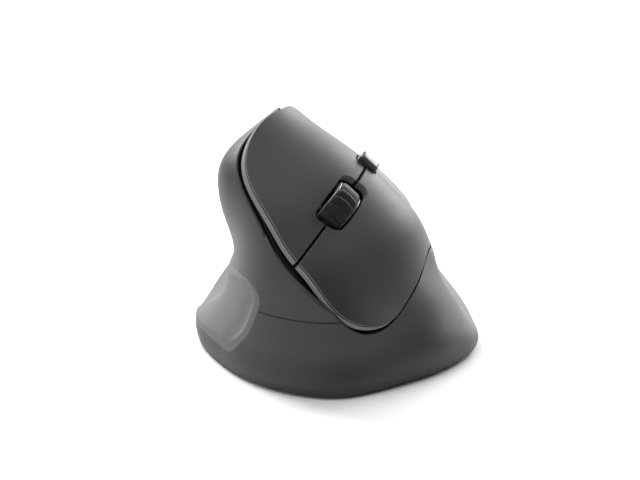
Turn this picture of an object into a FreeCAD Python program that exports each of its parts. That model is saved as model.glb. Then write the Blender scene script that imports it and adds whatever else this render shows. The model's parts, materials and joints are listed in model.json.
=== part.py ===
import FreeCAD, Part
import math
import os
import Sketcher
from FreeCAD import Placement, Rotation, Vector

# A left-handed upright mouse.  Nose at -Y, finger side at +X, thumb side at -X, +Z up.
# The origin lies on the desk, below the middle of the body.

doc = FreeCAD.newDocument("mouse")
sheet = doc.addObject("Spreadsheet::Sheet", "Sizes")

SIZES = {
    # shells
    "foot_thickness": 0.8,
    "wall": 2.0,
    "key_thickness": 2.1,
    "rim_drop": 4.4,
    "nose_rim_drop": 3.4,
    "trench_drop": 7.0,
    "rim_wall": 0.8,
    "rim_lip": 0.25,
    "rim_groove": 0.35,
    "groove_depth": 0.7,
    "key_gap": 0.5,
    "seam": 0.2,
    "parting_level": 21.3,
    "plate_thickness": 2.0,
    # the tilted finger face
    "face_tilt": 45.0,
    "face_across": 10.5,
    "face_level": 47.8,
    "split_yaw": 16.0,
    "split_width": 0.9,
    # scroll wheel
    "slot_width": 8.8,
    "slot_length": 19.6,
    "wheel_radius": 10.0,
    "wheel_width": 7.4,
    "wheel_proud": 2.6,
    "hub_radius": 7.5,
    "hub_bore": 1.25,
    "axle_radius": 1.25,
    "axle_length": 17.0,
    "cradle_bore": 1.35,
    "carrier_wall": 1.2,
    # buttons
    "dpi_length": 6.2,
    "dpi_width": 4.4,
    "dpi_proud": 2.2,
    "side_proud": 0.8,
    # electronics
    "board_thickness": 1.6,
    "switch_length": 12.8,
    "switch_width": 5.8,
    "switch_height": 6.5,
    "tact_side": 6.0,
    "tact_height": 3.5,
    # power
    "battery_radius": 7.25,
    "battery_length": 50.5,
    "door_length": 56.0,
    "door_width": 18.0,
    "receiver_width": 14.2,
    "receiver_depth": 6.0,
    "plug_length": 12.2,
    "knob_length": 4.0,
    # screws
    "screw_radius": 1.2,
    "screw_head_radius": 2.2,
    "screw_length": 9.0,
    "boss_radius": 3.2,
}
for row, (name, value) in enumerate(SIZES.items(), start=1):
    sheet.set("A%d" % row, name)
    sheet.set("B%d" % row, str(value))
    sheet.setAlias("B%d" % row, name)
doc.recompute()
size = {name: float(sheet.get(name)) for name in SIZES}

# ---------------------------------------------------------------- sculpted form

# widest loop of the skirt, seen from above, starting at the finger side
OUTLINE = [
    (43.3, 0), (42.6, -10), (40.3, -20), (36.2, -30), (31.5, -39.5),
    (25, -47.5), (14.5, -50.8), (3, -49.8), (-8, -45.6), (-18, -39),
    (-27.5, -31), (-35.5, -21), (-40.5, -8), (-43, 5), (-43.5, 17),
    (-40, 30), (-33, 40.3), (-22.5, 47.5), (-9.5, 50.8), (3.5, 49),
    (14, 44), (23, 36), (31, 26), (37.5, 15.5), (41.5, 8),
]
# how far the skin stands in from that loop: one row a level, one column a bearing
BEARINGS = [-90, -52, -20, 15, 50, 90, 150, 180, 205, 232]
INSETS = {
    0: [1, 1, 0.8, 1, 1.5, 1.5, 1, 1, 0.8, 0.6],
    3: [0.3, 0.3, -0.6, 0, 0.5, 0.5, 0, 0, 0, 0],
    8: [1, 1.6, -0.6, 4, 3.5, 2.5, 0.5, 0, 0.5, 0.6],
    14: [1.4, 2.6, 2.6, 7.8, 8.5, 5, 2, 3, 3.5, 3.2],
    20: [2, 3.6, 5.6, 12, 12.5, 8, 4.3, 7, 8.5, 6.2],
    27: [3, 4.8, 9.8, 14, 15.5, 11.5, 7, 10, 12, 9.2],
    36: [4.6, 6.6, 13, 15.5, 18, 15.5, 10.5, 9.8, 9.4, 7.8],
    46: [7, 9, 14.5, 17, 22, 21, 15.5, 10, 8.8, 5.3],
    56: [10.8, 11.5, 15.5, 19, 27, 27.5, 22.5, 14, 11.5, 7.8],
    70: [16.5, 15.5, 16.5, 21, 34, 38.5, 34.5, 29, 31, 28],
}
# height of the finger face above its tilted plane, along Y and across it
RISE_ALONG = {-52: -14, -42: -7.8, -30: -2.6, -15: 2.4, 0: 2, 15: -6, 30: -13, 48: -21}
RISE_ACROSS = {
    -40: -7.5, -33: -6.3, -25: -4.7, -15: -1.8, -5: 0.8, 5: 1.9,
    14: 2.6, 20: 1.6, 25: 0, 32: -1.4, 40: -1, 62: 12,
}
RISE_TWIST = (-0.7, -0.8, 0.8)
# thumb hollow: X of its wall at Y -12, and how it moves toward nose and palm
HOLLOW_LEVELS = [0, 4, 8, 13, 19, 26, 31, 36, 42]
HOLLOW_WALL = [-46, -41, -34.8, -28.8, -26.3, -27, -31, -38.5, -50]
HOLLOW_NOSE = [2, 6.2, 6.2, 5.7, 5.8, 5.8, 4, 2, 0]
HOLLOW_PALM = [8, 12, 14, 13, 10, 5.5, 2.5, 0, 0]


def curve(stations, values):
    """Natural cubic spline through the values, straight beyond both ends."""
    count = len(stations)
    step = [stations[i + 1] - stations[i] for i in range(count - 1)]
    slope = [(values[i + 1] - values[i]) / step[i] for i in range(count - 1)]
    bend = [0.0] * count
    lower = [0.0] * count
    right = [0.0] * count
    for i in range(1, count - 1):
        pivot = 2 * (step[i - 1] + step[i]) - step[i - 1] * lower[i - 1]
        lower[i] = step[i] / pivot
        right[i] = (6 * (slope[i] - slope[i - 1]) - step[i - 1] * right[i - 1]) / pivot
    for i in range(count - 2, 0, -1):
        bend[i] = right[i] - lower[i] * bend[i + 1]

    def value(at):
        if at <= stations[0]:
            start = slope[0] - step[0] * bend[1] / 6
            return values[0] + start * (at - stations[0])
        if at >= stations[-1]:
            finish = slope[-1] + step[-1] * bend[-2] / 6
            return values[-1] + finish * (at - stations[-1])
        i = max(k for k in range(count - 1) if stations[k] <= at)
        ahead = stations[i + 1] - at
        past = at - stations[i]
        return (
            (bend[i] * ahead ** 3 + bend[i + 1] * past ** 3) / (6 * step[i])
            + (values[i] / step[i] - bend[i] * step[i] / 6) * ahead
            + (values[i + 1] / step[i] - bend[i + 1] * step[i] / 6) * past
        )

    return value


def ring_curve(bearings, values):
    """The same spline round a full turn of bearings in degrees."""
    wrap = 4
    before = [b - 360 for b in bearings[-wrap:]]
    after = [b + 360 for b in bearings[:wrap]]
    inner = curve(before + bearings + after, values[-wrap:] + values + values[:wrap])

    def value(bearing):
        while bearing < bearings[0]:
            bearing += 360
        while bearing >= bearings[0] + 360:
            bearing -= 360
        return inner(bearing)

    return value


def outline_curve():
    """Distance of the widest loop from the axis, at each bearing."""
    polar = []
    for x, y in OUTLINE:
        bearing = math.degrees(math.atan2(y, x))
        polar.append(((bearing + 90) % 360 - 90, math.hypot(x, y)))
    polar.sort()
    return ring_curve([p[0] for p in polar], [p[1] for p in polar])


BODY_TOP = 71.0

loop_reach = outline_curve()
level_insets = {level: ring_curve(BEARINGS, row) for level, row in INSETS.items()}
rise_along = curve(list(RISE_ALONG), list(RISE_ALONG.values()))
rise_across = curve(list(RISE_ACROSS), list(RISE_ACROSS.values()))
hollow_wall = curve(HOLLOW_LEVELS, HOLLOW_WALL)
hollow_nose = curve(HOLLOW_LEVELS, HOLLOW_NOSE)
hollow_palm = curve(HOLLOW_LEVELS, HOLLOW_PALM)

tilt = math.radians(size["face_tilt"])
FACE_TURN = Rotation(Vector(0, 1, 0), size["face_tilt"])
FACE_OUT = FACE_TURN.multVec(Vector(0, 0, 1))


def face_height(across, along):
    """Height of the finger face above the tilted plane."""
    u = across / 30
    v = (along + 15) / 30
    twist = RISE_TWIST[0] * u * v + RISE_TWIST[1] * u * u * v + RISE_TWIST[2] * u * v * v
    return rise_along(along) + rise_across(across) + twist


def on_face(across, along, height):
    """A point given across, along and above the tilted plane, in the part's frame."""
    base = Vector(size["face_across"], along, size["face_level"])
    return base + FACE_TURN.multVec(Vector(across, 0, height))


def hollow_x(along, level):
    """X of the thumb hollow's wall."""
    level = max(level, 0)
    nose = min(max((-12 - along) / 16, 0), 2)
    palm = min(max((along + 12) / 25, 0), 2.5)
    return hollow_wall(level) + hollow_nose(level) * nose ** 2 - hollow_palm(level) * palm ** 1.5


def sheet_face(rows):
    """A smooth face through a grid of points."""
    surface = Part.BSplineSurface()
    surface.interpolate(rows)
    return surface.toShape()


def steps(start, stop, count):
    return [start + (stop - start) * i / (count - 1) for i in range(count)]


def lies_at(edge, level):
    """Whether an edge runs along one level."""
    thirds = steps(edge.FirstParameter, edge.LastParameter, 4)
    return all(abs(edge.valueAt(at).z - level) < 1e-4 for at in thirds)


def column(inset):
    """The body's side skin, moved in by an inset and capped flat at both ends."""
    lift = size["foot_thickness"]
    bottom, top = lift, BODY_TOP
    levels = steps(bottom, top, 22)
    rows = []
    for bearing in steps(90, 450, 73):
        skin = curve(list(INSETS), [level_insets[level](bearing) for level in INSETS])
        reach = loop_reach(bearing)
        row = []
        for level in levels:
            radius = reach - skin(level - lift) - inset
            angle = math.radians(bearing)
            row.append(Vector(radius * math.cos(angle), radius * math.sin(angle), level))
        rows.append(row)
    rows[-1] = rows[0]
    side = sheet_face(rows)
    caps = []
    for level in (bottom, top):
        rim = [edge for edge in side.Edges if lies_at(edge, level)]
        caps.append(Part.Face(Part.Wire(rim)))
    shell = Part.makeShell([side] + caps)
    shell.sewShape()
    solid = Part.Solid(shell)
    if solid.Volume < 0:
        solid.reverse()
    return solid


def above_face(drop):
    """Everything above the finger face lowered by a drop."""
    rows = []
    for across in steps(-52, 64, 40):
        row = []
        for along in steps(-64, 66, 40):
            row.append(on_face(across, along, face_height(across, along) - drop))
        rows.append(row)
    return sheet_face(rows).extrude(FACE_OUT * 90)


def above_nose_rim(drop):
    """Everything above the rim round the keys, which climbs back to the face on the finger side."""
    rows = []
    for across in steps(-52, 64, 40):
        climb = min(max((across - RIM_CLIMB_START) / RIM_CLIMB_RUN, 0), 1)
        fall = drop - (size["nose_rim_drop"] + 1) * climb * climb * (3 - 2 * climb)
        row = []
        for along in steps(-64, 66, 40):
            row.append(on_face(across, along, face_height(across, along) - fall))
        rows.append(row)
    return sheet_face(rows).extrude(FACE_OUT * 90)


def hollow_space(shift):
    """The room for the thumb, its wall moved toward the fingers by a shift."""
    lift = size["foot_thickness"]
    rows = []
    for along in steps(-64, 66, 44):
        row = []
        for level in steps(-3, 52, 26):
            row.append(Vector(hollow_x(along, level) + shift, along, level + lift))
        rows.append(row)
    return sheet_face(rows).extrude(Vector(-110, 0, 0))


def face_prism(points, low=-80, high=60, smooth=False):
    """A prism square to the tilted plane over a closed outline."""
    rim = [on_face(across, along, low) for across, along in points]
    if smooth:
        spline = Part.BSplineCurve()
        spline.interpolate(Points=rim, PeriodicFlag=True)
        wire = Part.Wire(spline.toShape())
    else:
        wire = Part.makePolygon(rim + [rim[0]])
    return Part.Face(wire).extrude(FACE_OUT * (high - low))


def grown(points, margin):
    """A closed outline moved outward by a margin."""
    moved = []
    for i, (x, y) in enumerate(points):
        ahead = points[(i + 1) % len(points)]
        behind = points[i - 1]
        run = Vector(ahead[0] - behind[0], ahead[1] - behind[1], 0).normalize()
        moved.append((x + run.y * margin, y - run.x * margin))
    return moved


def box_between(low, high):
    """A plain box between two corners."""
    span = Vector(*high) - Vector(*low)
    return Part.makeBox(span.x, span.y, span.z, Vector(*low))


def rounded_prism(across, along, low, high, radius, place):
    """A prism with rounded corners, centred on its place."""
    box = Part.makeBox(across, along, high - low, Vector(-across / 2, -along / 2, low))
    upright = [e for e in box.Edges if abs(e.tangentAt(e.FirstParameter).z) > 0.99]
    box = box.makeFillet(radius, upright)
    box.Placement = place
    return box


# keys seen square to the tilted plane: nose at the bottom, finger side at the right
KEY_OUTLINE = [
    (-31.4, -4), (-31.3, -10), (-30.6, -18), (-27.5, -26.5), (-21.5, -34), (-13.5, -39),
    (-4, -42.6), (4.7, -44.9), (13.7, -46.0), (22, -45.7), (29, -43.4), (34, -39), (36, -32),
    (34.8, -26), (32, -17.4), (28, -8), (25.8, -2), (24.6, 3), (20.5, 7.3), (10, 9.2),
    (-3, 9), (-16, 8), (-26, 6.5), (-30.4, 2),
]
NOSE_CORNER = [(-75, -80), (33, -80), (33, -40), (-10, -20), (-10, 8), (-75, 8)]
RIM_CLIMB_START = 4.0
RIM_CLIMB_RUN = 36.0
PALM_START = 4.0
PALM_REGION = [(-75, 13), (-28, 13), (-22, PALM_START), (26, PALM_START), (26, 85), (-75, 85)]
SLOT_MIDDLE = (1.8, -21.4)
DPI_STATION = 20.9

plate_low = size["foot_thickness"]
plate_high = plate_low + size["plate_thickness"]
hollow_skin = 2.2
palm_skin = 2.4
frame_drop = size["rim_drop"] + 0.6
frame_thickness = 2.0

slot_height = face_height(*SLOT_MIDDLE)
axle_height = slot_height + size["wheel_proud"] - size["wheel_radius"]
WHEEL_TURN = FACE_TURN.multiply(Rotation(Vector(0, 0, 1), size["split_yaw"]))
WHEEL_PLACE = Placement(on_face(*SLOT_MIDDLE, 0), WHEEL_TURN)
LYING = Rotation(Vector(0, 1, 0), 90)


def by_wheel(x, y, z, turn=Rotation()):
    """A placement in the wheel's frame: X along the axle, Y the rolling direction."""
    return WHEEL_PLACE.multiply(Placement(Vector(x, y, z), turn))


def on_plane(across, along, height, turn=Rotation()):
    """A placement on the tilted plane, square to it."""
    return Placement(on_face(across, along, height), FACE_TURN.multiply(turn))


def upright(x, y, z, turn=Rotation()):
    return Placement(Vector(x, y, z), turn)


# ---------------------------------------------------------------- document helpers

parts = []


def keep(feature, label):
    """Takes a finished object as a sub-part under its own label."""
    feature.Label = label
    parts.append(feature)
    return feature


def sculpted(label, shape):
    """A free-form sub-part."""
    if len(shape.Solids) == 1:
        shape = shape.Solids[0]
    feature = doc.addObject("Part::Feature", label)
    feature.Shape = shape
    feature.Placement = Placement()
    return keep(feature, label)


def bound(kind, name, **sizes):
    """A primitive whose properties follow the sheet."""
    item = doc.addObject(kind, name)
    for prop, value in sizes.items():
        rule = "Sizes." + value if isinstance(value, str) else str(value)
        item.setExpression(prop, rule)
    item.recompute()
    return item


def block(name, place, length, width, height):
    """A box centred on its place and standing on it."""
    item = bound("Part::Box", name, Length=length, Width=width, Height=height)
    corner = Vector(-item.Length.Value / 2, -item.Width.Value / 2, 0)
    item.Placement = place.multiply(Placement(corner, Rotation()))
    return item


def rod(name, place, radius, height):
    """A cylinder standing on its place."""
    item = bound("Part::Cylinder", name, Radius=radius, Height=height)
    item.Placement = place
    return item


def joined(name, pieces):
    item = doc.addObject("Part::MultiFuse", name)
    item.Shapes = pieces
    return item


def gathered(name, pieces):
    item = doc.addObject("Part::Compound", name)
    item.Links = pieces
    return item


def carved(name, base, tools):
    item = doc.addObject("Part::Cut", name)
    item.Base = base
    item.Tool = tools[0] if len(tools) == 1 else joined(name + "_tools", tools)
    return item


def rounded(name, base, radius, chosen):
    """A fillet on the edges that the chooser picks."""
    doc.recompute()
    item = doc.addObject("Part::Fillet", name)
    item.Base = base
    edges = enumerate(base.Shape.Edges, start=1)
    item.Edges = [(number, radius, radius) for number, edge in edges if chosen(edge)]
    return item


def turned(label, profile, place):
    """A PartDesign body turned about its own Z from (radius, height) points."""
    body = doc.addObject("PartDesign::Body", label)
    sketch = body.newObject("Sketcher::SketchObject", label + "_profile")
    plane = [f for f in body.Origin.OriginFeatures if f.Role == "XZ_Plane"][0]
    sketch.AttachmentSupport = [(plane, "")]
    sketch.MapMode = "FlatFace"
    spots = [[size[v] if isinstance(v, str) else v for v in point] for point in profile]
    count = len(spots)
    for i in range(count):
        start = Vector(*spots[i], 0)
        end = Vector(*spots[(i + 1) % count], 0)
        sketch.addGeometry(Part.LineSegment(start, end))
    for i in range(count):
        sketch.addConstraint(Sketcher.Constraint("Coincident", i, 2, (i + 1) % count, 1))
    for i in range(count):
        for axis, kind in enumerate(("DistanceX", "DistanceY")):
            value = profile[i][axis]
            if value == 0:
                sketch.addConstraint(Sketcher.Constraint("PointOnObject", i, 1, -2 + axis))
                continue
            rule = Sketcher.Constraint(kind, -1, 1, i, 1, spots[i][axis])
            index = sketch.addConstraint(rule)
            if isinstance(value, str):
                sketch.setExpression("Constraints[%d]" % index, "Sizes." + value)
    revolve = body.newObject("PartDesign::Revolution", label + "_turn")
    revolve.Profile = sketch
    revolve.ReferenceAxis = (sketch, ["V_Axis"])
    revolve.Angle = 360
    body.Placement = place
    return keep(body, label)


# ---------------------------------------------------------------- shells and keys

SIDE_BUTTONS = {"forward_button": (-10, 4, 38.5, 45.5), "back_button": (6, 20, 37.5, 44.5)}
SCREWS = [(26, -33), (19, 31), (-28, 34), (-26, -21)]
FRAME_POSTS = [(-16, -3), (23, -4), (13.5, -28.5)]
KEY_POSTS = {"index_key": (-15, -23), "middle_key": (22, -23)}
BOSS_TOP = 11.0
BOARD_TOP = -14.5
SWITCH_TOP = BOARD_TOP + size["switch_height"]
SIDE_BOARD_X = -25.0

skin = column(0)
inner_skin = column(size["wall"])
face_top = above_face(0)
face_under_palm = above_face(palm_skin)
rim_tool = above_face(size["rim_drop"])
hollow = hollow_space(0)
hollow_back = hollow_space(hollow_skin)
key_edge = face_prism(KEY_OUTLINE, smooth=True)
key_clear = face_prism(grown(KEY_OUTLINE, size["key_gap"]), smooth=True)
palm_region = face_prism(PALM_REGION)
slot = (size["slot_width"], size["slot_length"])
wheel_slot = rounded_prism(*slot, -30, 20, 2.8, by_wheel(0, -1, 0))
dpi_place = by_wheel(0, DPI_STATION, 0)
dpi_hole = rounded_prism(size["dpi_length"] + 1, size["dpi_width"] + 1, -4, 20, 1.0, dpi_place)


def side_window(low_y, high_y, low_z, high_z, margin):
    """A rounded window through the thumb-side skin."""
    width = high_y - low_y + 2 * margin
    height = high_z - low_z + 2 * margin
    middle = upright(-45, (low_y + high_y) / 2, (low_z + high_z) / 2, LYING)
    return rounded_prism(height, width, 0, 22, 2.4, middle)


def screw_bosses():
    """Screw bosses with a rib to the side wall."""
    pieces = []
    for x, y in SCREWS:
        base = Vector(x, y, plate_high)
        pieces.append(Part.makeCylinder(size["boss_radius"], BOSS_TOP - plate_high, base))
        rib = Part.makeBox(14, 1.6, 7, Vector(0, -0.8, plate_high))
        outward = Rotation(Vector(0, 0, 1), math.degrees(math.atan2(y, x)))
        rib.Placement = Placement(Vector(x, y, 0), outward)
        pieces.append(rib)
    return pieces[0].fuse(pieces[1:]).common(column(0.6)).cut(hollow_back)


def shells():
    """Lower shell, upper shell and thumb panel: one skin parted at a level and at the hollow."""
    form = skin.cut(face_top).cut(hollow)
    for region in (key_clear, palm_region):
        form = form.cut(rim_tool.common(region))
    trench = column(size["rim_wall"]).common(above_nose_rim(size["trench_drop"]))
    nose_rim = above_nose_rim(size["nose_rim_drop"]).fuse(trench)
    form = form.cut(nose_rim.common(face_prism(NOSE_CORNER)))
    wall = form.cut(inner_skin.cut(face_under_palm).cut(hollow_back))
    outer = wall.cut(hollow_back)
    part_level = size["parting_level"]
    half = size["seam"] / 2
    below = box_between((-70, -70, -5), (70, 80, part_level - half))
    finger_flank = box_between((20, -32, 10), (60, 9, 60))
    lower = outer.common(below.fuse(finger_flank))
    above = box_between((-70, -70, part_level + half), (70, 80, 90)).cut(finger_flank)
    upper = max(outer.common(above).Solids, key=lambda solid: solid.Volume)
    for window in SIDE_BUTTONS.values():
        upper = upper.cut(side_window(*window, 0.35))
    board_posts = []
    for y in (-3, 13):
        post = Part.makeCylinder(1.4, 14, Vector(SIDE_BOARD_X, y, 35.5), Vector(-1, 0, 0))
        board_posts.append(post)
    posts = board_posts[0].fuse(board_posts[1:]).common(column(0.6))
    lower = lower.fuse(screw_bosses())
    for x, y in SCREWS:
        lower = lower.cut(Part.makeCylinder(size["screw_radius"] + 0.05, 12, Vector(x, y, 0)))
        lower = lower.cut(Part.makeCylinder(size["screw_head_radius"] + 0.2, 4.1, Vector(x, y, -1.9)))
    sculpted("lower_shell", lower)
    sculpted("upper_shell", upper.fuse(posts))
    sculpted("thumb_panel", wall.common(hollow_back))


def palm_cover():
    """The cover over the palm, thin in the middle and standing on the rim."""
    cover = skin.cut(face_top).common(rim_tool).common(palm_region).cut(hollow)
    cover = cover.cut(key_clear).cut(inner_skin.cut(face_under_palm))
    sculpted("palm_cover", cover)


def keys():
    """Two keys from one slab, split along the wheel's line, each with a switch post."""
    slab = key_edge.common(above_face(size["key_thickness"])).cut(face_top)
    slab = slab.cut(wheel_slot).cut(dpi_hole)
    groove_low = size["rim_lip"] + size["rim_groove"]
    groove = above_face(groove_low).cut(above_face(size["rim_lip"]))
    groove = groove.cut(face_prism(grown(KEY_OUTLINE, -size["groove_depth"]), smooth=True))
    slab = slab.cut(groove)
    width = size["split_width"]
    split = Part.makeBox(width, 140, 90, Vector(-width / 2, -70, -50))
    split.Placement = WHEEL_PLACE
    halves = sorted(slab.cut(split).Solids, key=lambda solid: solid.CenterOfMass.x)
    halves = [halves[0], halves[-1]]
    for (label, (across, along)), half in zip(KEY_POSTS.items(), halves):
        low = SWITCH_TOP + 1.7
        top = face_height(across, along) - 1
        post = Part.makeCylinder(1.6, top - low, on_face(across, along, low), FACE_OUT)
        sculpted(label, half.fuse(post))


def key_frame():
    """The black frame under the keys that carries the switch board on three posts."""
    slab = column(size["wall"] + 0.1).common(above_face(frame_drop + frame_thickness))
    slab = slab.cut(above_face(frame_drop))
    slab = slab.common(face_prism(grown(KEY_OUTLINE, -0.6), smooth=True))
    slab = slab.cut(rounded_prism(19, 26, -40, 20, 2, by_wheel(-1.7, 0, 0)))
    slab = slab.cut(rounded_prism(9.6, 7.6, -40, 20, 1, dpi_place))
    for across, along in KEY_POSTS.values():
        window = rounded_prism(7.5, 15, -40, 20, 2, on_plane(across, along, 0))
        slab = slab.cut(window)
    for across, along in FRAME_POSTS:
        top = face_height(across, along) - frame_drop - 0.5
        foot = on_face(across, along, BOARD_TOP)
        slab = slab.fuse(Part.makeCylinder(2.4, top - BOARD_TOP, foot, FACE_OUT))
        slab = slab.cut(Part.makeCylinder(size["screw_radius"], 6, foot, FACE_OUT))
    sculpted("key_frame", slab)


def side_buttons():
    """Forward and back buttons that stand a little proud of the thumb side."""
    proud = column(-size["side_proud"]).cut(column(1.6))
    for label, window in SIDE_BUTTONS.items():
        button = proud.common(side_window(*window, 0))
        nearest = [s for s in button.Solids if s.CenterOfMass.x < -20]
        sculpted(label, nearest[0])


BATTERY_PLACE = (-12.0, 9.0)
RECEIVER_PLACE = (4.0, -34.0)
SENSOR_PLACE = (12.0, -6.0)
POWER_PLACE = (7.0, 32.0)
STANDOFFS = [(2, -22), (25, -22), (2, 21), (25, 21)]
MAIN_BOARD_LOW = 6.4


def base_plate():
    """The floor plate with its openings, counterbores and board standoffs."""
    plate = column(size["wall"] + 0.1).common(box_between((-70, -70, 0), (70, 80, plate_high)))
    plate = plate.cut(hollow_space(hollow_skin + 0.1))
    length, width = size["door_length"] + 0.6, size["door_width"] + 0.6
    plate = plate.cut(rounded_prism(width, length, -2, 8, 2, upright(*BATTERY_PLACE, 0)))
    width, depth = size["receiver_width"] + 0.6, size["receiver_depth"] + 0.6
    plate = plate.cut(rounded_prism(width, depth, -2, 8, 1, upright(*RECEIVER_PLACE, 0)))
    plate = plate.cut(Part.makeCylinder(4, 8, Vector(*SENSOR_PLACE, -2)))
    plate = plate.cut(rounded_prism(3.4, 9, -2, 8, 1.2, upright(*POWER_PLACE, 0)))
    for x, y in SCREWS:
        plate = plate.cut(Part.makeCylinder(size["screw_radius"] + 0.2, 8, Vector(x, y, -2)))
        sink = Part.makeCylinder(size["screw_head_radius"] + 0.2, 4.1, Vector(x, y, -1.9))
        plate = plate.cut(sink)
    for x, y in STANDOFFS:
        post = Part.makeCylinder(2.2, MAIN_BOARD_LOW - plate_high + 0.5, Vector(x, y, plate_high - 0.5))
        plate = plate.fuse(post)
    sculpted("base_plate", plate)


shells()
palm_cover()
keys()
key_frame()
side_buttons()
base_plate()


# ---------------------------------------------------------------- scroll wheel

def vertical(edge):
    """Whether a straight edge stands along Z of its own object."""
    return edge.Curve.TypeId == "Part::GeomLine" and abs(edge.tangentAt(0).z) > 0.99


def scroll_wheel():
    """Tyre, hub and axle, turned about the axle and laid across the slot."""
    half = size["wheel_width"] / 2
    side = by_wheel(-half, 0, axle_height, LYING)
    tyre = [("hub_radius", 0), ("wheel_radius", 1.0), ("wheel_radius", 6.4), ("hub_radius", "wheel_width")]
    crown = [tyre[0], (9.2, 0), tyre[1], tyre[2], (9.2, "wheel_width"), tyre[3]]
    turned("wheel_tyre", crown, side)
    hub = [
        ("hub_bore", 0.4), (3.0, 0.4), (3.0, 2.6), (6.3, 2.6), (6.3, 0.4), ("hub_radius", 0.4),
        ("hub_radius", 7.0), (6.3, 7.0), (6.3, 4.8), (3.0, 4.8), (3.0, 7.0), ("hub_bore", 7.0),
    ]
    turned("wheel_hub", hub, side)
    keep(rod("axle", by_wheel(-9.6, 0, axle_height, LYING), "axle_radius", "axle_length"), "wheel_axle")


def wheel_carrier():
    """The cradle that holds the axle and sinks when the wheel is pressed."""
    wall = size["carrier_wall"]
    offset = size["slot_width"] / 2 + 0.9
    floor_level = axle_height - size["wheel_radius"] - 2.0
    height = axle_height + 2.0 - floor_level
    cheeks = []
    for side in (-1, 1):
        place = by_wheel(side * offset, 0, floor_level)
        cheeks.append(block("cheek", place, "carrier_wall", 5.2, height))
    floor = block("cradle_floor", by_wheel(0, 0, floor_level), 2 * offset + wall, 6.0, 1.0)
    ear = block("cradle_ear", by_wheel(offset + 3.7, 0, SWITCH_TOP + 1.6), 7.0, 5.0, 1.2)
    bore = rod("cradle_bore", by_wheel(-8, 0, axle_height, LYING), "cradle_bore", 16)
    cradle = carved("cradle", joined("cradle_solid", cheeks + [floor, ear]), [bore])
    keep(cradle, "wheel_carrier")


def encoder():
    """The rotary encoder beside the wheel, with room for the axle to sink."""
    height = axle_height + 0.5 - BOARD_TOP
    case = block("encoder_case", by_wheel(-8.9, 1, BOARD_TOP), 2.6, 9, height)
    bore = rod("encoder_bore", by_wheel(-11, 0, axle_height, LYING), 2.2, 4)
    keep(carved("encoder_cut", case, [bore]), "encoder")


# ---------------------------------------------------------------- buttons and switches

def dpi_button():
    """The speed button that stands across the split behind the wheel."""
    proud_top = face_height(-3.9, -1.5) + size["dpi_proud"]
    shelf = face_height(-3.9, -1.5) - size["key_thickness"] - 2.3
    cap = block("dpi_cap", by_wheel(0, DPI_STATION, shelf), "dpi_length", "dpi_width", proud_top - shelf)
    cap = rounded("dpi_soft", cap, 0.5, lambda edge: edge.BoundBox.ZMax > 1)
    flange = block("dpi_flange", by_wheel(0, DPI_STATION, shelf - 0.1), 8.4, 6.4, 0.7)
    stem_low = BOARD_TOP + size["tact_height"] + 0.9
    stem = rod("dpi_stem", by_wheel(0, DPI_STATION, stem_low), 1.5, shelf - stem_low + 0.5)
    keep(joined("dpi_solid", [cap, flange, stem]), "dpi_button")


def press_switches():
    """Snap switches under both keys and the wheel's ear, with their plungers."""
    spots = {
        "index_switch": on_plane(*KEY_POSTS["index_key"], BOARD_TOP),
        "middle_switch": on_plane(*KEY_POSTS["middle_key"], BOARD_TOP),
        "wheel_switch": by_wheel(10.6, 0, BOARD_TOP),
    }
    for label, place in spots.items():
        case = block(label + "_case", place, "switch_width", "switch_length", "switch_height")
        lift = Placement(Vector(0, 0, size["switch_height"] - 0.5), Rotation())
        plunger = block(label + "_plunger", place.multiply(lift), 2.4, 1.4, 1.1)
        keep(joined(label + "_solid", [case, plunger]), label)


def tact_switches():
    """Small push switches for the speed button and the two side buttons."""
    spots = {"dpi_switch": by_wheel(0, DPI_STATION, BOARD_TOP)}
    facing = Rotation(Vector(0, 1, 0), -90)
    for label, (low_y, high_y, low_z, high_z) in SIDE_BUTTONS.items():
        middle = ((low_y + high_y) / 2, (low_z + high_z) / 2)
        spots[label.replace("button", "switch")] = upright(SIDE_BOARD_X, *middle, facing)
    for label, place in spots.items():
        base = block(label + "_base", place, "tact_side", "tact_side", "tact_height")
        top = Placement(Vector(0, 0, size["tact_height"] - 0.5), Rotation())
        cap = rod(label + "_cap", place.multiply(top), 1.6, 0.8)
        keep(joined(label + "_solid", [base, cap]), label)


# ---------------------------------------------------------------- boards

def switch_board():
    """The board under the finger face, notched for the wheel."""
    place = on_plane(3.5, -13, BOARD_TOP - size["board_thickness"])
    board = block("switch_board_plate", place, 45, 34, "board_thickness")
    notch = block("switch_board_notch", by_wheel(0, -1, BOARD_TOP - 5), 13.6, 26, 10)
    holes = [
        rod("switch_board_hole", on_plane(*spot, BOARD_TOP - 5), 1.3, 10) for spot in FRAME_POSTS
    ]
    keep(carved("switch_board_cut", board, [notch] + holes), "switch_board")


def side_board():
    """The small board behind the side buttons."""
    place = upright(SIDE_BOARD_X + size["board_thickness"] / 2, 4.0, 33.5)
    keep(block("side_board_plate", place, "board_thickness", 29, 12), "side_board")


def main_board():
    """The main board on its standoffs, with the window for the sensor."""
    place = upright(13.5, -0.5, MAIN_BOARD_LOW)
    board = block("main_board_plate", place, 29, 49, "board_thickness")
    window = block("main_board_window", upright(*SENSOR_PLACE, 0), 9, 7, 20)
    keep(carved("main_board_cut", board, [window]), "main_board")
    board_top = MAIN_BOARD_LOW + size["board_thickness"]
    keep(block("chip", upright(14, 12, board_top), 7, 7, 1.0), "radio_chip")
    keep(block("can", upright(6, 15, board_top), 3.2, 2.5, 0.8), "crystal")


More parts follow.
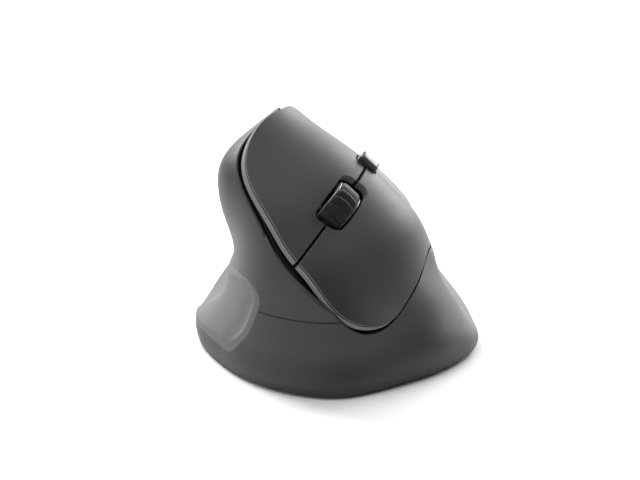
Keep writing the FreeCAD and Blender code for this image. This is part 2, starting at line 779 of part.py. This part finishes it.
def sensor():
    """The optical sensor over its window and the lens between board and floor."""
    board_top = MAIN_BOARD_LOW + size["board_thickness"]
    keep(block("chip_case", upright(*SENSOR_PLACE, board_top), 12, 10.6, 2.6), "sensor_chip")
    bed = block("lens_bed", upright(*SENSOR_PLACE, plate_high), 19, 13, 1.2)
    barrel = rod("lens_barrel", upright(*SENSOR_PLACE, 1.6), 3.6, 3.6)
    keep(joined("lens_solid", [bed, barrel]), "sensor_lens")


# ---------------------------------------------------------------- power and receiver

def battery():
    """One cylindrical cell with its raised terminal toward the palm."""
    x, y = BATTERY_PLACE
    level = plate_low + 2.4 + size["battery_radius"]
    lying = Rotation(Vector(1, 0, 0), -90)
    cell = [(0, 0), ("battery_radius", 0), ("battery_radius", 49.3), (2.75, 49.3),
            (2.75, "battery_length"), (0, "battery_length")]
    turned("battery", cell, upright(x, y - size["battery_length"] / 2, level, lying))
    end = size["battery_length"] / 2
    pad = block("pad", upright(x, y + end + 0.85, level - 4), 9, 1.7, 8)
    keep(pad, "battery_contact")
    coil = doc.addObject("Part::Cone", "coil")
    coil.setExpression("Radius1", "3.6")
    coil.setExpression("Radius2", "2.2")
    coil.setExpression("Height", "1.6")
    coil.recompute()
    coil.Placement = upright(x, y - end - 1.6, level, lying)
    keep(coil, "battery_spring")


def battery_tray():
    """The open cradle round the cell."""
    x, y = BATTERY_PLACE
    outer = block("tray_outer", upright(x, y, plate_high), 20.4, 57.4, 11.2)
    inner = block("tray_inner", upright(x, y, plate_high - 1), 18.4, 54.0, 14)
    keep(carved("tray_cut", outer, [inner]), "battery_tray")


def battery_door():
    """The door that closes the cradle from below, with a finger notch."""
    place = upright(*BATTERY_PLACE, plate_low)
    door = block("door_plate", place, "door_width", "door_length", "plate_thickness")
    door = rounded("door_round", door, 1.8, lambda edge: edge.BoundBox.ZLength > 1.5)
    x, y = BATTERY_PLACE
    notch = block("door_notch", upright(x, y - 22, plate_low - 1), 10, 2.2, 1.8)
    keep(carved("door_cut", door, [notch]), "battery_door")


def receiver():
    """The small wireless receiver parked in a socket in the floor."""
    x, y = RECEIVER_PLACE
    head = block("head", upright(x, y, plate_low), "receiver_width", "receiver_depth", 6.4)
    keep(rounded("head_round", head, 1.0, lambda edge: edge.BoundBox.ZLength > 5), "receiver_head")
    plug = block("plug", upright(x, y, plate_low + 6.4), 12.0, 4.5, "plug_length")
    hollow_tool = block("plug_room", upright(x, y, plate_low + 8), 11.4, 3.9, "plug_length")
    keep(carved("plug_cut", plug, [hollow_tool]), "receiver_plug")
    outer = block("socket_outer", upright(x, y, plate_high), 16.8, 8.6, 18.2)
    room = block("socket_room", upright(x, y, plate_high - 1), 14.8, 6.6, 18.0)
    keep(carved("socket_cut", outer, [room]), "receiver_socket")


def power_switch():
    """The slide switch and the knob that reaches through the floor."""
    x, y = POWER_PLACE
    case = block("power_case", upright(x, y, plate_high), 7.4, 14, 4.2)
    room = block("power_room", upright(x, y, plate_high - 1), 3.8, 9.4, 3.6)
    keep(carved("power_cut", case, [room]), "power_switch")
    knob = block("knob_stem", upright(x, y - 1.6, 0.4), 2.6, "knob_length", 4.6)
    keep(rounded("knob_round", knob, 0.4, vertical), "power_knob")


# ---------------------------------------------------------------- feet and screws

def feet():
    """Four low-friction skates and the ring round the sensor."""
    pads = {
        "foot_front": (8, -42.5, 24, 5), "foot_rear": (-8, 43.8, 20, 5),
        "foot_thumb": (-31.5, 12, 5, 22), "foot_finger": (33.5, 2, 5, 20),
    }
    for label, (x, y, width, length) in pads.items():
        pad = block(label + "_pad", upright(x, y, 0), width, length, "foot_thickness")
        keep(rounded(label + "_round", pad, 2.2, vertical), label)
    ring = rod("ring_outer", upright(*SENSOR_PLACE, 0), 9.5, "foot_thickness")
    ring_hole = rod("ring_inner", upright(*SENSOR_PLACE, -1), 6.0, 4)
    keep(carved("ring_cut", ring, [ring_hole]), "foot_sensor")


def screw(name, place, length):
    """A pan-head screw with a cross recess, head at its place, shank along its Z."""
    head = rod(name + "_head", place, "screw_head_radius", 1.2)
    shank = rod(name + "_shank", place, "screw_radius", length)
    deeper = Placement(Vector(0, 0, -0.3), Rotation())
    bars = [
        block(name + "_bar", place.multiply(deeper), 0.6, 2.8, 0.9),
        block(name + "_cross", place.multiply(deeper), 2.8, 0.6, 0.9),
    ]
    return carved(name, joined(name + "_blank", [head, shank]), bars)


def screws():
    """Case screws through the floor and frame screws through the switch board."""
    case = [screw("case_screw", upright(x, y, plate_low + 0.1), "screw_length") for x, y in SCREWS]
    keep(gathered("case_screw_set", case), "case_screws")
    under = BOARD_TOP - size["board_thickness"] - 1.2
    frame = [screw("frame_screw", on_plane(*spot, under), 8.0) for spot in FRAME_POSTS]
    keep(gathered("frame_screw_set", frame), "frame_screws")


scroll_wheel()
wheel_carrier()
encoder()
dpi_button()
press_switches()
tact_switches()
switch_board()
side_board()
main_board()
sensor()
battery()
battery_tray()
battery_door()
receiver()
power_switch()
feet()
screws()


# ---------------------------------------------------------------- check and write

doc.recompute()
for feature in doc.Objects:
    if "Invalid" in feature.State or "Error" in feature.State:
        raise RuntimeError("failed object " + feature.Label)
os.makedirs("parts", exist_ok=True)
for feature in parts:
    shape = feature.Shape
    if shape.isNull() or not shape.isValid() or not shape.Solids:
        raise RuntimeError("bad shape " + feature.Label)
    shape.exportStep("parts/" + feature.Label + ".step")
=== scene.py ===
import json

import bpy
import numpy as np
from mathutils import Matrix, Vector


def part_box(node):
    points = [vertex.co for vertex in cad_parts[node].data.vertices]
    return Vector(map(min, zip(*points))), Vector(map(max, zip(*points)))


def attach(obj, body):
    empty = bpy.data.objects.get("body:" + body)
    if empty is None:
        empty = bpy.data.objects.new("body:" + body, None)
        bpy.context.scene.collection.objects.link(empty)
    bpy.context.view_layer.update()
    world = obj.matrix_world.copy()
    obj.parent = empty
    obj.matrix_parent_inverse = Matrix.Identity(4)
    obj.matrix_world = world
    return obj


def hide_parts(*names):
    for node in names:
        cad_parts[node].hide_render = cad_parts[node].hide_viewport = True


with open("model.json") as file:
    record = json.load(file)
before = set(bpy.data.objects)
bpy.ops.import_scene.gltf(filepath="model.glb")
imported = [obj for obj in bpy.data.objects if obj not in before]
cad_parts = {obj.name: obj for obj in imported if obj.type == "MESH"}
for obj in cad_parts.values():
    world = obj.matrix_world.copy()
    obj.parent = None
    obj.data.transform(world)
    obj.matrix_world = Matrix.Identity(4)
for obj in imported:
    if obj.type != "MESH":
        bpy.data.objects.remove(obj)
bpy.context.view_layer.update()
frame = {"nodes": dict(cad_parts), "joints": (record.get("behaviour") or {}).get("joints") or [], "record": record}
nodes = frame["nodes"]
joints = {joint["name"]: joint for joint in frame["joints"]}
MM = 0.001

# ---------------------------------------------------------------- directions read from the frame

press = np.array(joints["wheel_press"]["axis"])
face_out = -press / np.linalg.norm(press)
axle = np.array(joints["wheel_roll"]["axis"])
axle = axle / np.linalg.norm(axle)
roll = np.cross(face_out, axle)
wheel_middle = np.array(joints["wheel_roll"]["pos_m"])


# ---------------------------------------------------------------- building surfaces

def closed_grid(name, points):
    """Turns a grid of points, shape (along, around, 3), into a mesh closed around and capped at both ends.
    Each cell of the grid is one quad, and each end is a fan to the middle of its own ring."""
    along, around = points.shape[:2]
    row, col = np.meshgrid(np.arange(along - 1), np.arange(around), indexing="ij")
    ahead = (col + 1) % around
    quads = np.stack(
        [row * around + col, row * around + ahead, (row + 1) * around + ahead, (row + 1) * around + col], -1
    ).reshape(-1, 4)
    middles = np.stack([points[0].mean(0), points[-1].mean(0)])
    first, last = along * around, along * around + 1
    ring = np.arange(around)
    turn = (ring + 1) % around
    start_fan = np.stack([turn, ring, np.full(around, first)], -1)
    end_fan = np.stack([ring, turn, np.full(around, 0)], -1) + (along - 1) * around
    end_fan[:, 2] = last
    mesh = bpy.data.meshes.new(name)
    faces = quads.tolist() + start_fan.tolist() + end_fan.tolist()
    mesh.from_pydata(np.vstack([points.reshape(-1, 3), middles]).tolist(), [], faces)
    return finished(name, mesh)


def ring_grid(name, points):
    """Turns a grid of points, shape (along, around, 3), into a mesh closed both ways, like a tyre."""
    along, around = points.shape[:2]
    row, col = np.meshgrid(np.arange(along), np.arange(around), indexing="ij")
    ahead, below = (col + 1) % around, (row + 1) % along
    quads = np.stack(
        [row * around + col, row * around + ahead, below * around + ahead, below * around + col], -1
    ).reshape(-1, 4)
    mesh = bpy.data.meshes.new(name)
    mesh.from_pydata(points.reshape(-1, 3).tolist(), [], quads.tolist())
    return finished(name, mesh)


def finished(name, mesh):
    """Links a mesh as a smooth object with its faces pointing outwards."""
    mesh.update()
    volume = signed_volume(mesh)
    if volume < 0:
        mesh.flip_normals()
    mesh.polygons.foreach_set("use_smooth", np.ones(len(mesh.polygons), dtype=bool))
    piece = bpy.data.objects.new(name, mesh)
    bpy.context.scene.collection.objects.link(piece)
    return piece


def signed_volume(mesh):
    """Volume of a closed mesh: the sum over its triangles of one corner dotted with the cross of the other
    two, divided by six."""
    mesh.calc_loop_triangles()
    corners = np.empty(len(mesh.loop_triangles) * 3, dtype=np.int32)
    mesh.loop_triangles.foreach_get("vertices", corners)
    places = np.empty(len(mesh.vertices) * 3)
    mesh.vertices.foreach_get("co", places)
    tri = places.reshape(-1, 3)[corners.reshape(-1, 3)]
    return float(np.einsum("ij,ij->i", tri[:, 0], np.cross(tri[:, 1], tri[:, 2])).sum()) / 6


def in_wheel_frame(across, along, height):
    """Points of the wheel's own frame, in metres: the wheel's middle plus a distance along the axle, one
    along the rolling direction and one out of the face."""
    spot = across[..., None] * axle + along[..., None] * roll + height[..., None] * face_out
    return wheel_middle + spot


# ---------------------------------------------------------------- materials

def fresh_material(name):
    material = bpy.data.materials.new(name)
    material.use_nodes = True
    graph = material.node_tree
    shader = graph.nodes["Principled BSDF"]
    place = graph.nodes.new("ShaderNodeTexCoord").outputs["Object"]
    return material, graph, shader, place


def noise(graph, place, per_metre, detail=2.0, roughness=0.5):
    """Smooth random values over the piece, repeating about once in 1 / per_metre metres."""
    node = graph.nodes.new("ShaderNodeTexNoise")
    node.inputs["Scale"].default_value = per_metre
    node.inputs["Detail"].default_value = detail
    node.inputs["Roughness"].default_value = roughness
    graph.links.new(place, node.inputs["Vector"])
    return node.outputs["Fac"]


def spread(graph, value, low, high, start=0.3, stop=0.7):
    """Stretches a value from start..stop to low..high."""
    node = graph.nodes.new("ShaderNodeMapRange")
    node.inputs["From Min"].default_value = start
    node.inputs["From Max"].default_value = stop
    node.inputs["To Min"].default_value = low
    node.inputs["To Max"].default_value = high
    graph.links.new(value, node.inputs["Value"])
    return node.outputs["Result"]


def blended(graph, value, first, second):
    """A colour that goes from the first to the second as the value goes from 0 to 1."""
    node = graph.nodes.new("ShaderNodeMix")
    node.data_type = "RGBA"
    for socket, colour in (("A", first), ("B", second)):
        spot = [s for s in node.inputs if s.name == socket and s.type == "RGBA"][0]
        if isinstance(colour, tuple):
            spot.default_value = (*colour, 1)
        else:
            graph.links.new(colour, spot)
    graph.links.new(value, node.inputs["Factor"])
    return [s for s in node.outputs if s.type == "RGBA"][0]


COOLNESS = 0.015


def grey(level, coolness=0.0):
    """A grey that leans a little to blue."""
    return (level * (1 - coolness), level, level * (1 + coolness))


def raised(graph, value, depth, strength, under=None):
    """A bump from a value, its depth in metres, laid over another normal."""
    node = graph.nodes.new("ShaderNodeBump")
    node.inputs["Distance"].default_value = depth
    node.inputs["Strength"].default_value = strength
    graph.links.new(value, node.inputs["Height"])
    if under is not None:
        graph.links.new(under, node.inputs["Normal"])
    return node.outputs["Normal"]


def soft_edges(graph, radius):
    """A normal that rounds the moulded edges by a small radius in metres."""
    node = graph.nodes.new("ShaderNodeBevel")
    node.samples = 6
    node.inputs["Radius"].default_value = radius
    return node.outputs["Normal"]


def side_walls(graph):
    """1 on walls that stand square to the finger face, 0 on the face itself: the mask of the painted highlight on
    those walls.
    """
    geometry = graph.nodes.new("ShaderNodeNewGeometry")
    facing = graph.nodes.new("ShaderNodeVectorMath")
    facing.operation = "DOT_PRODUCT"
    facing.inputs[1].default_value = tuple(face_out)
    graph.links.new(geometry.outputs["True Normal"], facing.inputs[0])
    return spread(graph, facing.outputs["Value"], 1, 0, 0.3, 0.6)


def moulded_plastic(
    name, level, roughness, grain=0.02 * MM, edge=0.4 * MM, grain_size=0.4 * MM, painted_highlight_level=None
):
    """Spark-eroded plastic: fine even grain, slow drifts of shade, and patches polished a little by handling.
    Given a level for them, the walls square to the finger face are painted lighter: a painted highlight on those
    walls."""
    material, graph, shader, place = fresh_material(name)
    drift = noise(graph, place, 30, detail=3)
    specks = noise(graph, place, 1 / grain_size, detail=3, roughness=0.6)
    darker, lighter = grey(level * 0.93, COOLNESS), grey(level * 1.07, COOLNESS)
    shade = blended(graph, spread(graph, drift, 0, 1), darker, lighter)
    if painted_highlight_level is not None:
        # Painted highlight: the walls square to the finger face are painted lighter, as if they caught the light.
        shade = blended(graph, side_walls(graph), shade, grey(painted_highlight_level, COOLNESS))
    tone = blended(graph, spread(graph, specks, 0, 0.3), shade, grey(level * 1.5, COOLNESS))
    graph.links.new(tone, shader.inputs["Base Color"])
    rubbed = noise(graph, place, 55, detail=4, roughness=0.6)
    graph.links.new(spread(graph, rubbed, roughness - 0.04, roughness + 0.05), shader.inputs["Roughness"])
    graph.links.new(raised(graph, specks, grain, 0.6, soft_edges(graph, edge)), shader.inputs["Normal"])
    return material


def ribbed_rubber(name):
    """Black rubber with fine slanted mould lines across the tread."""
    material, graph, shader, place = fresh_material(name)
    dust = noise(graph, place, 900, detail=4, roughness=0.7)
    wear = noise(graph, place, 160, detail=2)
    tone = blended(graph, spread(graph, wear, 0, 1), grey(0.006), grey(0.011))
    dusted = blended(graph, spread(graph, dust, 0, 0.3, 0.5, 0.8), tone, grey(0.03))
    graph.links.new(dusted, shader.inputs["Base Color"])
    lines = graph.nodes.new("ShaderNodeTexWave")
    lines.wave_type = "BANDS"
    lines.bands_direction = "DIAGONAL"
    lines.inputs["Scale"].default_value = 420
    lines.inputs["Distortion"].default_value = 1.5
    lines.inputs["Detail"].default_value = 1.0
    graph.links.new(place, lines.inputs["Vector"])
    shader.inputs["Specular IOR Level"].default_value = 0.22
    graph.links.new(spread(graph, dust, 0.5, 0.66), shader.inputs["Roughness"])
    graph.links.new(raised(graph, lines.outputs["Fac"], 0.06 * MM, 0.5), shader.inputs["Normal"])
    return material


def plated_metal(name, level, roughness):
    """Plated steel with faint drawn streaks."""
    material, graph, shader, place = fresh_material(name)
    shader.inputs["Metallic"].default_value = 1.0
    stretch = graph.nodes.new("ShaderNodeMapping")
    stretch.inputs["Scale"].default_value = (1, 1, 12)
    graph.links.new(place, stretch.inputs["Vector"])
    streaks = noise(graph, stretch.outputs["Vector"], 900, detail=4, roughness=0.65)
    tone = blended(graph, spread(graph, streaks, 0, 1), grey(level * 0.85), grey(level))
    graph.links.new(tone, shader.inputs["Base Color"])
    graph.links.new(spread(graph, streaks, roughness - 0.06, roughness + 0.1), shader.inputs["Roughness"])
    relief = raised(graph, streaks, 0.01 * MM, 0.4, soft_edges(graph, 0.15 * MM))
    graph.links.new(relief, shader.inputs["Normal"])
    return material


def solder_mask(name):
    """Green board lacquer over copper tracks, which stand a little proud and show lighter."""
    material, graph, shader, place = fresh_material(name)
    cells = graph.nodes.new("ShaderNodeTexBrick")
    cells.inputs["Scale"].default_value = 160
    cells.inputs["Mortar Size"].default_value = 0.03
    cells.offset = 0.37
    graph.links.new(place, cells.inputs["Vector"])
    track = cells.outputs["Fac"]
    lacquer, copper_side = (0.008, 0.07, 0.03), (0.03, 0.2, 0.09)
    graph.links.new(blended(graph, track, lacquer, copper_side), shader.inputs["Base Color"])
    mottle = noise(graph, place, 400, detail=3)
    graph.links.new(spread(graph, mottle, 0.25, 0.4), shader.inputs["Roughness"])
    graph.links.new(raised(graph, track, 0.05 * MM, 0.6), shader.inputs["Normal"])
    return material


def clear_lens(name):
    """Clear moulded plastic with a trace of haze."""
    material, graph, shader, place = fresh_material(name)
    shader.inputs["Transmission Weight"].default_value = 0.9
    shader.inputs["IOR"].default_value = 1.49
    haze = noise(graph, place, 300, detail=3)
    graph.links.new(spread(graph, haze, 0.04, 0.14), shader.inputs["Roughness"])
    tint = blended(graph, spread(graph, haze, 0, 1), (0.85, 0.88, 0.9), (0.95, 0.96, 0.97))
    graph.links.new(tint, shader.inputs["Base Color"])
    return material


def cell_sleeve(name):
    """A shrink sleeve with a dark body and a bare band at the raised end."""
    material, graph, shader, place = fresh_material(name)
    split = graph.nodes.new("ShaderNodeSeparateXYZ")
    graph.links.new(place, split.inputs["Vector"])
    low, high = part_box("battery")
    band = low.y + 0.72 * (high.y - low.y)
    sleeve = spread(graph, split.outputs["Y"], 0, 1, band, band + 0.4 * MM)
    creases = noise(graph, place, 250, detail=4, roughness=0.6)
    body = blended(graph, spread(graph, creases, 0, 1), (0.03, 0.05, 0.08), (0.045, 0.07, 0.11))
    graph.links.new(blended(graph, sleeve, body, (0.55, 0.38, 0.16)), shader.inputs["Base Color"])
    graph.links.new(spread(graph, creases, 0.2, 0.34), shader.inputs["Roughness"])
    graph.links.new(raised(graph, creases, 0.03 * MM, 0.4), shader.inputs["Normal"])
    return material


def low_friction_sheet(name):
    """Milky skate material with fine sliding scratches."""
    material, graph, shader, place = fresh_material(name)
    stretch = graph.nodes.new("ShaderNodeMapping")
    stretch.inputs["Scale"].default_value = (1, 9, 1)
    graph.links.new(place, stretch.inputs["Vector"])
    scratches = noise(graph, stretch.outputs["Vector"], 1200, detail=5, roughness=0.7)
    milk = blended(graph, spread(graph, scratches, 0, 1), grey(0.6), grey(0.74))
    graph.links.new(milk, shader.inputs["Base Color"])
    graph.links.new(spread(graph, scratches, 0.3, 0.5), shader.inputs["Roughness"])
    relief = raised(graph, scratches, 0.02 * MM, 0.5, soft_edges(graph, 0.2 * MM))
    graph.links.new(relief, shader.inputs["Normal"])
    return material


finishes = {
    "shell": moulded_plastic("shell_plastic", 0.019, 0.52),
    # The thumb panel's grey is set well above the shell's partly as painted light, so it looks lit where it faces
    # up and to the left.
    "grip": moulded_plastic("thumb_rubber_painted_light", 0.09, 0.6, grain=0.03 * MM, grain_size=0.6 * MM),
    # The key walls square to the face carry a painted highlight.
    "key": moulded_plastic("key_plastic", 0.008, 0.56, edge=0.2 * MM, painted_highlight_level=0.16),
    "button": moulded_plastic("button_plastic", 0.03, 0.38, edge=0.35 * MM),
    # The inner frame's near-black colour is painted shade: it stands in for the shadow seen in the gap beside the
    # keys.
    "frame": moulded_plastic("frame_plastic_painted_shade", 0.004, 0.6),
    "floor": moulded_plastic("floor_plastic", 0.02, 0.5),
    "tyre": ribbed_rubber("wheel_rubber"),
    "hub": moulded_plastic("wheel_hub_plastic", 0.03, 0.35, edge=0.2 * MM),
    "steel": plated_metal("plated_steel", 0.6, 0.3),
    "contact": plated_metal("nickel_contact", 0.75, 0.22),
    "switch": moulded_plastic("switch_case_plastic", 0.02, 0.35, edge=0.2 * MM),
    "board": solder_mask("board_lacquer"),
    "lens": clear_lens("lens_plastic"),
    "cell": cell_sleeve("cell_sleeve"),
    "skate": low_friction_sheet("skate_sheet"),
}

for row in frame["record"]["subparts"]:
    mesh = nodes[row["node"]].data
    mesh.materials.clear()
    mesh.materials.append(finishes[row["material_slot"]])


# ---------------------------------------------------------------- scroll wheel

WHEEL_RADIUS = 10.0 * MM
WHEEL_WIDTH = 7.4 * MM
HUB_RADIUS = 7.5 * MM
PADDLES = 20
PADDLE_STEP = 0.55 * MM
POINTS_PER_PADDLE = 18
CLIMB_SHARE = 0.82
ARC_LEAN = 0.22
RIM_WIDTH = 0.6 * MM
RIM_SINK = 0.7 * MM


def wheel_tread():
    """The rubber tread.  Round the wheel its radius climbs along each paddle and falls steeply at its end: a
    sawtooth softened at both ends, deepest in the middle of the width and bent into an arc across it."""
    turn = np.linspace(0, 2 * np.pi, PADDLES * POINTS_PER_PADDLE, endpoint=False)[:, None]
    half = WHEEL_WIDTH / 2 - RIM_WIDTH
    side = np.linspace(-1, 1, 25)[None, :]
    phase = (turn * PADDLES / (2 * np.pi) + ARC_LEAN * side ** 2) % 1.0
    climb = np.minimum(phase / CLIMB_SHARE, (1 - phase) / (1 - CLIMB_SHARE))
    climb = climb * climb * (3 - 2 * climb)
    hollow = PADDLE_STEP * (1 - climb) * (1 - 0.5 * side ** 8)
    shoulder = 0.5 * MM * np.abs(side) ** 6
    radius = WHEEL_RADIUS - hollow - shoulder
    across = np.broadcast_to(half * side, radius.shape)
    outer = in_wheel_frame(across, radius * np.sin(turn), radius * np.cos(turn))
    bore = np.full(radius.shape, HUB_RADIUS)
    inner = in_wheel_frame(across, bore * np.sin(turn), bore * np.cos(turn))[:, ::-1]
    points = np.concatenate([outer, inner], axis=1)
    tread = ring_grid("wheel_tread", points)
    tread.data.materials.append(finishes["tyre"])
    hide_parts("wheel_tyre")
    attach(tread, "wheel")
    return tread


def wheel_rim(name, side):
    """A smooth ring at one side of the tread, set a little below its crown.  Its section is a rounded bar: a
    superellipse in width and radius."""
    around = np.linspace(0, 2 * np.pi, 200, endpoint=False)[:, None]
    section = np.linspace(0, 2 * np.pi, 28, endpoint=False)[None, :]
    mid_width = side * (WHEEL_WIDTH - RIM_WIDTH) / 2
    mid_radius = (WHEEL_RADIUS + HUB_RADIUS - RIM_SINK) / 2
    wide = np.sign(np.cos(section)) * np.abs(np.cos(section)) ** 0.5
    tall = np.sign(np.sin(section)) * np.abs(np.sin(section)) ** 0.5
    radius = mid_radius + (WHEEL_RADIUS - HUB_RADIUS - RIM_SINK) / 2 * tall + 0 * around
    across = mid_width + RIM_WIDTH / 2 * wide + 0 * around
    rim = ring_grid(name, in_wheel_frame(across, radius * np.sin(around), radius * np.cos(around)))
    rim.data.materials.append(finishes["hub"])
    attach(rim, "wheel")
    return rim


wheel_tread()
wheel_rim("wheel_rim_index_side", -1)
wheel_rim("wheel_rim_middle_side", 1)


# ---------------------------------------------------------------- speed button

CAP_HEIGHT = 6.6 * MM
CAP_HALF_WIDTH = 3.1 * MM
CAP_HALF_LENGTH = 2.2 * MM
STEM_RADIUS = 1.5 * MM


def speed_button():
    """The speed button, lofted out of the face: stem, flange, cap and crowned top.  Each level is a
    superellipse with its own half sizes and squareness, and the top is drawn in to a shallow dome."""
    corners = np.array([v.co for v in nodes["dpi_button"].data.vertices])
    height = (corners - wheel_middle) @ face_out
    along = (corners - wheel_middle) @ roll
    across = (corners - wheel_middle) @ axle
    top, bottom = height.max(), height.min()
    station = (along.max() + along.min()) / 2
    centre = (across.max() + across.min()) / 2
    flange_wide = (across.max() - across.min()) / 2
    flange_long = (along.max() - along.min()) / 2
    shelf = top - CAP_HEIGHT
    # height, half width, half length, squareness
    levels = [
        (bottom, STEM_RADIUS, STEM_RADIUS, 1.0),
        (shelf - 0.2 * MM, STEM_RADIUS, STEM_RADIUS, 1.0),
        (shelf - 0.1 * MM, flange_wide, flange_long, 0.35),
        (shelf + 0.55 * MM, flange_wide, flange_long, 0.35),
        (shelf + 0.6 * MM, CAP_HALF_WIDTH, CAP_HALF_LENGTH, 0.4),
        (top - 1.1 * MM, CAP_HALF_WIDTH, CAP_HALF_LENGTH, 0.4),
        (top - 0.6 * MM, 0.985 * CAP_HALF_WIDTH, 0.98 * CAP_HALF_LENGTH, 0.4),
        (top - 0.28 * MM, 0.93 * CAP_HALF_WIDTH, 0.9 * CAP_HALF_LENGTH, 0.42),
        (top - 0.1 * MM, 0.82 * CAP_HALF_WIDTH, 0.74 * CAP_HALF_LENGTH, 0.46),
        (top - 0.03 * MM, 0.62 * CAP_HALF_WIDTH, 0.5 * CAP_HALF_LENGTH, 0.55),
        (top, 0.28 * CAP_HALF_WIDTH, 0.2 * CAP_HALF_LENGTH, 0.8),
    ]
    level, wide, long, square = (column[:, None] for column in np.array(levels).T)
    turn = np.linspace(0, 2 * np.pi, 72, endpoint=False)[None, :]
    x = centre + wide * np.sign(np.cos(turn)) * np.abs(np.cos(turn)) ** square
    y = station + long * np.sign(np.sin(turn)) * np.abs(np.sin(turn)) ** square
    button = closed_grid("speed_button", in_wheel_frame(x, y, level + 0 * turn))
    button.data.materials.append(finishes["button"])
    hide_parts("dpi_button")
    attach(button, "speed_button")
    return button


speed_button()


# ---------------------------------------------------------------- floor, light and camera

def stage_floor():
    """A flat pale table top: a square grid a hair below the feet."""
    reach = 3.0
    cells = 4
    side = cells + 1
    spots = np.linspace(-reach, reach, side)
    x, y = np.meshgrid(spots, spots, indexing="ij")
    points = np.stack([x, y, np.full_like(x, -0.02 * MM)], -1).reshape(-1, 3)
    i, j = np.meshgrid(np.arange(cells), np.arange(cells), indexing="ij")
    corner = i * side + j
    quads = np.stack([corner, corner + side, corner + side + 1, corner + 1], -1).reshape(-1, 4)
    mesh = bpy.data.meshes.new("table_top")
    mesh.from_pydata(points.tolist(), [], quads.tolist())
    table = bpy.data.objects.new("table_top", mesh)
    bpy.context.scene.collection.objects.link(table)
    material, graph, shader, place = fresh_material("pale_table")
    cloud = noise(graph, place, 3, detail=2)
    graph.links.new(blended(graph, cloud, grey(0.84), grey(0.88)), shader.inputs["Base Color"])
    shader.inputs["Roughness"].default_value = 0.8
    shader.inputs["Specular IOR Level"].default_value = 0.2
    mesh.materials.append(material)


def softbox(name, spot, aim, width, height, power):
    """A rectangular soft light that faces a point."""
    light = bpy.data.lights.new(name, "AREA")
    light.shape = "RECTANGLE"
    light.size = width
    light.size_y = height
    light.energy = power
    lamp = bpy.data.objects.new(name, light)
    lamp.location = spot
    lamp.rotation_euler = (Vector(aim) - Vector(spot)).to_track_quat("-Z", "Y").to_euler()
    bpy.context.scene.collection.objects.link(lamp)


def studio():
    """A low strip behind, a box behind the thumb side, a weak one in front and a wide one overhead."""
    middle = (0, 0, 0.03)
    softbox("back_strip", (0.22, 1.22, 0.54), middle, 0.9, 0.6, 23)
    softbox("back_left_box", (-0.8, 0.45, 0.75), middle, 0.6, 0.6, 22)
    softbox("front_box", (-0.7, -1.1, 0.45), middle, 0.9, 0.7, 3)
    softbox("top_box", (0, -0.1, 1.5), middle, 1.6, 1.6, 15)
    world = bpy.data.worlds.new("studio_air")
    bpy.context.scene.world = world
    world.use_nodes = True
    world.node_tree.nodes["Background"].inputs["Color"].default_value = (1, 1, 1, 1)
    world.node_tree.nodes["Background"].inputs["Strength"].default_value = 0.24
    bpy.context.scene.view_settings.view_transform = "Standard"


def camera():
    """A long lens, a little above the desk, off the nose toward the finger side."""
    toward = np.array([0.42661, -0.83727, 0.34202])
    right = np.array([0.89101, 0.45399, 0.0])
    up = np.cross(toward, right)
    stand = 600 * MM
    base = np.array([0, 0, 0.8 * MM])
    spot = base + stand * toward
    aim = base - 5 * MM * right + 26.5 * MM * up
    lens = bpy.data.cameras.new("studio_camera")
    lens.lens = 114.75
    lens.sensor_width = 36.0
    eye = bpy.data.objects.new("studio_camera", lens)
    eye.location = spot
    eye.rotation_euler = Vector(aim - spot).to_track_quat("-Z", "Y").to_euler()
    bpy.context.scene.collection.objects.link(eye)
    bpy.context.scene.camera = eye


stage_floor()
studio()
camera()
